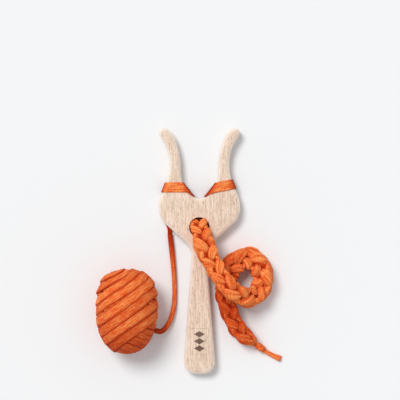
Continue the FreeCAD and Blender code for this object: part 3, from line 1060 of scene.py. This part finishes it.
def make_working_yarn():
    """The free yarn from the head to the ball, and the points that it follows."""
    start, heading = winding_start()
    foot = start - heading * foot_run
    route = lead_route + [foot - heading * run_out_length, foot, start + heading * overlap]
    points = Line(smooth_line(route)).even(yarn_step)
    outwards, sections, shade_and_tone = [], [], []
    for i, point in enumerate(points):
        share = i / (len(points) - 1)
        lean = math.radians(14 * math.sin(7.0 * share) - 10)
        sections.append(curled_section(yarn_width(share), yarn_thickness, lean))
        near_ball = max(0.0, (share - 0.8) / 0.2)
        outwards.append((up * (1 - near_ball) + out_of_ball(point) * near_ball).normalized())
        shade_and_tone += edge_shade(sections[-1:], yarn_shade(share), yarn_edge_shade)
    shapes = Shapes()
    shapes.add(lay_tape(points, outwards, sections), shade_and_tone)
    return build_piece("free_yarn", shapes, laid_tape), points


free_yarn, yarn_points = make_working_yarn()
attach(free_yarn, "root")
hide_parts("working_yarn")
print(f"free yarn: {Line(yarn_points).length / mm:.0f} mm long")

# %% [markdown]
# ## The cord's stitches
#
# A lucet cord is square in section. Each of its four sides is a column of V shapes, and each
# leg of a V is one plump stitch that comes up from under the stitch before it, swings in to
# the middle of the column and dives under its neighbour. A stitch is modelled once, as a
# rounded leaf with folds along it, in four kinds whose folds differ. Copies are bent onto the
# cord, with small differences.

# %% One stitch
stitch_segments = 26
stitch_rings = 16
stitch_point = 0.26
fold_count = 5
fold_depth = 0.10
fold_twist = 2.2
fold_phases = (0.0, 1.3, 2.6, 4.1)


def model_stitch(phase):
    """The leaf of one stitch, one unit long, wide and high, with its tips along X."""
    bpy.ops.object.select_all(action="DESELECT")
    bpy.ops.mesh.primitive_uv_sphere_add(
        segments=stitch_segments, ring_count=stitch_rings, radius=0.5, rotation=(0, math.pi / 2, 0)
    )
    leaf = bpy.context.object
    bpy.ops.object.transform_apply(location=True, rotation=True, scale=True)
    valleys = []
    for vertex in leaf.data.vertices:
        x, y, z = vertex.co
        wave = math.cos(fold_count * math.atan2(z, y) + fold_twist * x + phase)
        slim = max(0.0, 1 - 4 * x * x) ** stitch_point * (1 + fold_depth * wave)
        vertex.co = (x, y * slim, z * slim)
        valleys.append(max(0.0, -wave))
    places = [vertex.co.copy() for vertex in leaf.data.vertices]
    faces = [tuple(polygon.vertices) for polygon in leaf.data.polygons]
    uvs = [tuple(corner.uv) for corner in leaf.data.uv_layers.active.data]
    bpy.data.objects.remove(leaf)
    return places, faces, uvs, valleys


leaves = [model_stitch(phase) for phase in fold_phases]
print(f"stitch: {len(leaves)} kinds with {len(leaves[0][1])} faces each")

# %% [markdown]
# ## The finished cord
#
# The stitches are placed by how far along the cord and how far round it they lie, and then
# carried to the smooth line. The top column has to face up all along the cord, as it does in
# the picture. Where the cord stands up in the hole there is no up to turn to, so there the
# column faces away from the run that follows. The newest stitches, by the hole, are smaller.

# %% Cord
stitch_pitch = 12.7 * mm
stitch_length = 15.0 * mm
stitch_width = 8.0 * mm
stitch_height = 5.6 * mm
stitch_radius = 5.1 * mm
stitch_outer = 7.5 * mm
stitch_inner = -0.3 * mm
side_column_in = 0.9 * mm
dip_at_start = 2.7 * mm
dip_at_end = 2.3 * mm
least_radius = 0.8 * mm
slope_step = 0.01
round_scale = 7.0 * mm
squareness = 5
uv_around = 20
uv_along = 16
small_stitch = 0.70
small_from = 4 * mm
small_until = 20 * mm
large_from = 24 * mm
large_end_gap = 1 * mm
core_radius = 4.9 * mm
core_corners = 12
core_step = 1.6 * mm
hole_clearance = 0.35 * mm
wood_clearance = 0.1 * mm
head_reach = 14 * mm
first_column = math.radians(90 + 9)
first_run_back = (cord_line.at(6 * mm)[0] - cord_line.at(40 * mm)[0]).to_2d().to_3d().normalized()
girth_marks = [
    (0 * mm, 1.04),
    (12 * mm, 1.04),
    (19 * mm, 1.16),
    (24 * mm, 1.10),
    (31 * mm, 1.01),
    (40 * mm, 0.91),
    (52 * mm, 0.90),
    (62 * mm, 0.95),
    (72 * mm, 0.96),
    (85 * mm, 1.07),
    (135 * mm, 1.06),
    (155 * mm, 0.94),
    (170 * mm, 0.86),
    (200 * mm, 0.85),
]
# The painted shade along the cord: in the hole, and on the last run, in the shade of the run over it.
shade_marks = [(0 * mm, 0.20), (12 * mm, 0.0), (110 * mm, 0.0), (150 * mm, 0.38), (200 * mm, 0.32)]


def between_marks(marks, distance):
    """The value at a distance, between the marks before and after it."""
    for (low, before), (high, after) in zip(marks, marks[1:]):
        if distance < high:
            return before + (after - before) * ease((distance - low) / (high - low))
    return marks[-1][1]


def cord_girth(distance):
    """How full the cord is at a distance along it."""
    return between_marks(girth_marks, distance)


def square_share(turn):
    """How much farther out a square's side lies this far round from its middle."""
    reach = abs(math.cos(turn)) ** squareness + abs(math.sin(turn)) ** squareness
    return reach ** (-1 / squareness)


def cord_sides(heading):
    """The ways to the right and up, seen along the cord."""
    lift = up + first_run_back * max(0.0, heading.z) ** 2
    above = (lift - heading * heading.dot(lift)).normalized()
    return heading.cross(above), above


def press_on_wood(place):
    """Keeps the cord inside the hole, on the wood's face and on the table."""
    from_hole = place.xy - hole_place.xy
    limit = hole_radius - hole_clearance
    beyond = from_hole.length - limit
    over_head = place.y > 0 and abs(place.x) < head_reach
    if place.z < front_z and beyond > 0 and over_head:
        if beyond < front_z - place.z:
            inside = hole_place.xy + from_hole.normalized() * limit
            place = Vector((inside.x, inside.y, place.z))
        else:
            place = Vector((place.x, place.y, front_z + wood_clearance))
    return Vector((place.x, place.y, max(place.z, 0.0)))


def swing_at(x):
    """How far from the middle of its column a stitch lies, this far along itself."""
    return stitch_outer + (stitch_inner - stitch_outer) * ease(x + 0.5)


def stitch_shade(x, z, valley):
    """The painted shade on a place of a stitch: at its tips, down its flanks and in its folds."""
    tips = 2.6 * max(0.0, -x - 0.24) + 2.2 * max(0.0, x - 0.30)
    flank = 1.7 * max(0.0, 0.34 - z)
    return tips + flank + 0.15 * valley


def place_stitch(line, girth, leaf, begin, column, side, size, base):
    """The places of one stitch, and the painted shade on each.

    begin is where its middle is, column the angle of its V, and base how far out it lies.
    """
    places, shade_and_tone = [], []
    for (x, y, z), valley in zip(leaf[0], leaf[3]):
        swing = side * swing_at(x)
        slope = (side * swing_at(x + slope_step) - swing) / (stitch_length * slope_step)
        norm = math.hypot(1, slope)
        along = begin + stitch_length * size * x - slope / norm * y * stitch_width * size
        around = swing + y * stitch_width * size / norm
        dip = dip_at_start * max(0.0, (-x - 0.16) / 0.34) ** 2
        dip += dip_at_end * max(0.0, (x - 0.08) / 0.42) ** 2
        radius = max(least_radius, base - dip * size + z * stitch_height * size)
        radius *= girth(along) * square_share(around / round_scale)
        centre, heading = line.at(along)
        right, above = cord_sides(heading)
        turn = column + around / round_scale
        way = right * math.cos(turn) + above * math.sin(turn)
        places.append(press_on_wood(centre + way * radius))
        shade_and_tone.append(stitch_shade(x, z, valley) + between_marks(shade_marks, along))
    return places, shade_and_tone


def lay_stitches(shapes, line, girth, first, last, size, seed):
    """Adds all the stitches between two distances along a line."""
    random.seed(seed)
    pitch = stitch_pitch * size
    rows = range(int((last - first) / pitch) + 1)
    for row, quarter, side in itertools.product(rows, range(4), (-1, 1)):
        begin = first + pitch * (row + 0.25 * (side + 1))
        begin += random.uniform(-0.5, 0.5) * mm
        own_size = size * random.uniform(0.94, 1.06)
        leaf = random.choice(leaves)
        if begin > last:
            continue
        column = first_column + math.pi / 2 * quarter + random.uniform(-0.06, 0.06)
        base = stitch_radius - side_column_in * (quarter % 2)
        places, shade_and_tone = place_stitch(line, girth, leaf, begin, column, side, own_size, base)
        tint = random.uniform(-0.06, 0.10)
        uvs = [(u * uv_around, v * uv_along + 3.7 * row + quarter) for u, v in leaf[2]]
        shapes.add((places, leaf[1], uvs), [min(1.0, max(0.0, value + tint)) for value in shade_and_tone])


def add_core(shapes, points, outwards, sections, shade_and_tone):
    """Adds the plain core that fills the cord under its stitches."""
    places, faces, uvs = lay_tape(points, outwards, sections)
    shapes.add(([press_on_wood(place) for place in places], faces, uvs), shade_and_tone)


def core_section(fullness):
    """The square section of the core, with round corners."""
    places = []
    for corner in range(core_corners):
        turn = math.radians(360 / core_corners * corner)
        reach = core_radius * square_share(turn)
        places.append((reach * math.cos(turn) * fullness, reach * math.sin(turn) * fullness))
    return places


def make_cord():
    """The whole cord as one piece, with a plain core under the stitches."""
    shapes = Shapes()
    large_until = cord_line.length - large_end_gap
    lay_stitches(shapes, cord_line, cord_girth, large_from, large_until, 1.0, 21)
    lay_stitches(shapes, cord_line, cord_girth, small_from, small_until, small_stitch, 22)
    core = cord_line.even(core_step)
    distances = [cord_line.length * i / (len(core) - 1) for i in range(len(core))]
    ways = [cord_sides(cord_line.at(distance)[1])[1] for distance in distances]
    sections = [core_section(cord_girth(distance)) for distance in distances]
    # The core gets a strong painted shade, where it shows between the stitches.
    add_core(shapes, core, ways, sections, 0.8)
    return build_piece("plaited_cord", shapes, drawn_tape)


cord = make_cord()
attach(cord, "root")
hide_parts("lucet_cord")
print(f"cord: {count_triangles(cord)} triangles")

# %% [markdown]
# ## The end that the cord was started with
#
# The cord narrows over its first stitches to the slip knot, and a short cut end of tape sticks
# out past it. The same stitches are laid along a short line while the girth shrinks. The knot
# is a real overhand knot, a small trefoil of tape drawn tight.

# %% First stitches, knot and cut end
taper_length = 7.8 * mm
taper_drop = Vector((0, 0, -4.2 * mm))
taper_stitch = 0.75
neck_radius = 1.4 * mm
knot_size = 6.0 * mm
knot_height = 3.6 * mm
knot_steps = 64
tail_length = 15.0 * mm
tail_height = 3.0 * mm
end_width = 3.3 * mm
end_place, end_heading = cord_line.at(cord_line.length)
end_heading = Vector((end_heading.x, end_heading.y, 0)).normalized()
end_side = end_heading.cross(up)


def taper_girth(distance):
    """How full the cord is along its tapering end."""
    return 0.85 - 0.57 * ease((distance - 1 * mm) / (11.5 * mm))


def make_first_stitches():
    """The tapering end of the cord."""
    route = [
        end_place - end_heading * 3 * mm,
        end_place + end_heading * 2 * mm,
        end_place + end_heading * 6 * mm + taper_drop * 0.6,
        end_place + end_heading * (taper_length + 1.5 * mm) + taper_drop,
    ]
    line = Line(smooth_line(route))
    shapes = Shapes()
    lay_stitches(shapes, line, taper_girth, 3 * mm, 10 * mm, taper_stitch, 5)
    points = line.even(1 * mm)
    sections = []
    for i in range(len(points)):
        radius = core_radius + (neck_radius - core_radius) * ease(1.1 * i / len(points))
        sections.append(flat_section(2 * radius, 2 * radius, 0))
    # The core of the tapering end gets a lighter painted shade.
    add_core(shapes, points, [up] * len(points), sections, 0.4)
    return build_piece("first_stitches", shapes, drawn_tape)


def make_knot():
    """A small trefoil of tape, drawn tight and lying on the table."""
    middle = end_place + end_heading * (taper_length + knot_size / 2)
    middle.z = knot_height
    route = []
    for i in range(knot_steps):
        turn = 2 * math.pi * i / knot_steps
        ahead = (math.sin(turn) + 2 * math.sin(2 * turn)) * 0.86 * mm
        above = (math.cos(turn) - 2 * math.cos(2 * turn)) * 0.72 * mm
        aside = -math.sin(3 * turn) * 1.3 * mm
        route.append(middle + end_heading * ahead + end_side * aside + up * above)
    route.append(route[0].copy())
    outwards = [(place - middle).normalized() for place in route]
    sections = [curled_section(end_width, 2.6 * mm, 0.0)] * len(route)
    shapes = Shapes()
    # A little painted shade on the knot.
    shapes.add(lay_tape(route, outwards, sections), 0.1)
    return build_piece("slip_knot", shapes, laid_tape)


def make_cut_end():
    """The short cut end of tape past the knot."""
    start = end_place + end_heading * (taper_length + knot_size - 2 * mm)
    start.z = tail_height
    tip = start + end_heading * (tail_length + 1.5 * mm)
    route = [
        start,
        start + end_heading * 4 * mm - up * 1.0 * mm,
        start + end_heading * 9 * mm - up * 1.4 * mm - end_side * 0.4 * mm,
        tip - up * 1.5 * mm - end_side * 2.2 * mm,
    ]
    points = Line(smooth_line(route)).even(0.8 * mm)
    sections = []
    for i in range(len(points)):
        flare = 1 + 0.35 * ease((i / (len(points) - 1) - 0.6) / 0.4)
        sections.append(curled_section(end_width * flare, 2.2 * mm, 0.2))
    shapes = Shapes()
    shapes.add(lay_tape(points, [up] * len(points), sections), 0.0)
    return build_piece("cut_end", shapes, laid_tape)


first_stitches = make_first_stitches()
knot = make_knot()
cut_end = make_cut_end()
for piece, node, slot in (
    (first_stitches, "cast_on_end", "plaited_cord"),
    (knot, "cast_on_knot", "tape_yarn"),
    (cut_end, "cut_tail", "tape_yarn"),
):
    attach(piece, "root")
    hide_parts(node)
    print(f"{piece.name}: {count_triangles(piece)} triangles")

[tuple(place) for place in cord_line.even(1.5 * mm)]

# %% [markdown]
# ## Floor and light
#
# The floor is a plain pale sheet, far larger than the view. The light is soft and even, from a
# white world and one broad lamp high on the left, at a level where a colour in the render is
# about the colour that was written. That keeps the orange and the pale wood true.

# %% Floor, light and world
floor_size = 3.0
floor_drop = 0.02 * mm
floor_colour = (0.86, 0.87, 0.88, 1)
lamp_place = (-0.5, 0.6, 1.2)
lamp_way = Vector((0.42, -0.50, -1.0))
lamp_strength = 1.9
lamp_angle = math.radians(24)
world_strength = 0.55


def make_floor():
    """A pale sheet under everything."""
    bpy.ops.object.select_all(action="DESELECT")
    bpy.ops.mesh.primitive_plane_add(size=floor_size, location=(0, 0, -floor_drop))
    floor = bpy.context.object
    floor.name = "floor"
    material, tree, shader = new_material("pale_floor")
    shader.inputs["Base Color"].default_value = floor_colour
    shader.inputs["Roughness"].default_value = 0.9
    floor.data.materials.append(material)


def make_light():
    """A broad soft lamp and an even white world."""
    bpy.ops.object.select_all(action="DESELECT")
    bpy.ops.object.light_add(type="SUN", location=lamp_place)
    lamp = bpy.context.object
    lamp.name = "soft_lamp"
    lamp.rotation_euler = lamp_way.to_track_quat("-Z", "Y").to_euler()
    lamp.data.energy = lamp_strength
    lamp.data.angle = lamp_angle
    world = bpy.data.worlds.new("even_world")
    world.use_nodes = True
    background = world.node_tree.nodes["Background"]
    background.inputs["Color"].default_value = (1, 1, 1, 1)
    background.inputs["Strength"].default_value = world_strength
    bpy.context.scene.world = world


make_floor()
make_light()
print("floor and light are in place")

# %% Finish
bpy.ops.object.select_all(action="DESELECT")
